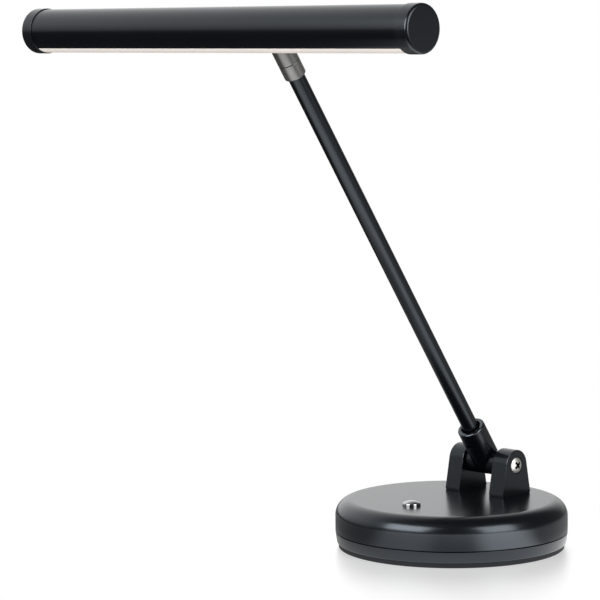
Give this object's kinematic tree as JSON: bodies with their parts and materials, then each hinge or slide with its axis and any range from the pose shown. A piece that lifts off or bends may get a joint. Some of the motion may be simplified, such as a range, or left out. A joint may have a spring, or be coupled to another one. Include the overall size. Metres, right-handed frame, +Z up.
{
  "type": "piano lamp",
  "caption": "Piano lamp: round weighted base with a push button, tilting tubular arm in two hinge ears, swivel and tilt neck, and a slim tubular head with an opal light strip.",
  "frame": {"origin": "centre of the foot pad's underside, on the surface that the lamp stands on", "axes": "+Z up, X along the tilt hinge and the lamp head, -Y towards the player: the push button is at -Y and the hinge ears at +Y"},
  "size_m": [0.311, 0.2813, 0.3335],
  "materials": {
    "black_cover": "satin black baked enamel",
    "black_cast": "fine satin black powder coat on cast zinc",
    "black_tube": "semi-gloss black lacquer on steel tube",
    "black_anodised": "satin black anodised extrusion",
    "black_cap": "satin black moulding",
    "steel": "plain zinc plated steel",
    "ballast": "raw casting",
    "nickel": "brushed gunmetal nickel",
    "chrome": "polished chrome",
    "rubber": "matt black rubber",
    "nylon": "dark nylon",
    "opal": "opal diffusing plastic",
    "board": "fibreglass circuit board",
    "led_strip": "white masked metal core board",
    "led": "phosphor emitter",
    "inlet": "black moulded jack",
    "brass": "turned brass",
    "lead": "sheathed lead"
  },
  "bodies": {
    "base": {"base_cover": "black_cover", "base_tray": "black_cover", "ballast_weight": "ballast", "foot_pad": "rubber", "cover_screws": "steel", "ballast_screws": "steel", "ear_left": "black_cast", "ear_right": "black_cast", "ear_screws": "steel", "hinge_journal": "brass", "hinge_washers": "nylon", "lock_washer": "steel", "switch_body": "inlet", "switch_clip": "steel", "driver_board": "board", "board_screws": "steel", "power_inlet": "inlet", "inlet_nut": "steel"},
    "button": {"button_cap": "chrome", "switch_plunger": "inlet"},
    "arm": {"arm_socket": "black_cast", "hinge_screw": "steel", "set_screw": "steel", "arm_tube": "black_tube", "arm_cable": "lead", "knuckle_base": "nickel", "swivel_stud": "steel", "swivel_rings": "nylon", "swivel_nut": "steel"},
    "neck": {"neck_sleeve": "nickel", "neck_eye": "nickel"},
    "head": {"head_tube": "black_anodised", "diffuser": "opal", "led_board": "led_strip", "leds": "led", "end_cap_left": "black_cap", "end_cap_right": "black_cap", "head_bracket": "black_cast", "bracket_screws": "steel", "tilt_screw": "steel", "tilt_nut": "steel"}
  },
  "joints": [
    {"name": "arm_tilt", "type": "hinge", "parent": "base", "child": "arm", "pos_m": [0, 0.0345, 0.0488], "axis": [1, 0, 0], "range_deg": [-50, 45]},
    {"name": "head_swivel", "type": "hinge", "parent": "arm", "child": "neck", "pos_m": [0, -0.13922, 0.30156], "axis": [0, -0.5664, 0.8241], "range_deg": [-165, 165]},
    {"name": "head_tilt", "type": "hinge", "parent": "neck", "child": "head", "pos_m": [0, -0.15196, 0.3201], "axis": [1, 0, 0], "range_deg": [-60, 50]},
    {"name": "button_press", "type": "slide", "parent": "base", "child": "button", "axis": [0, 0, -1], "range_m": [0, 0.0012], "stiffness_N_per_m": 1500, "springref_m": -0.0005}
  ]
}
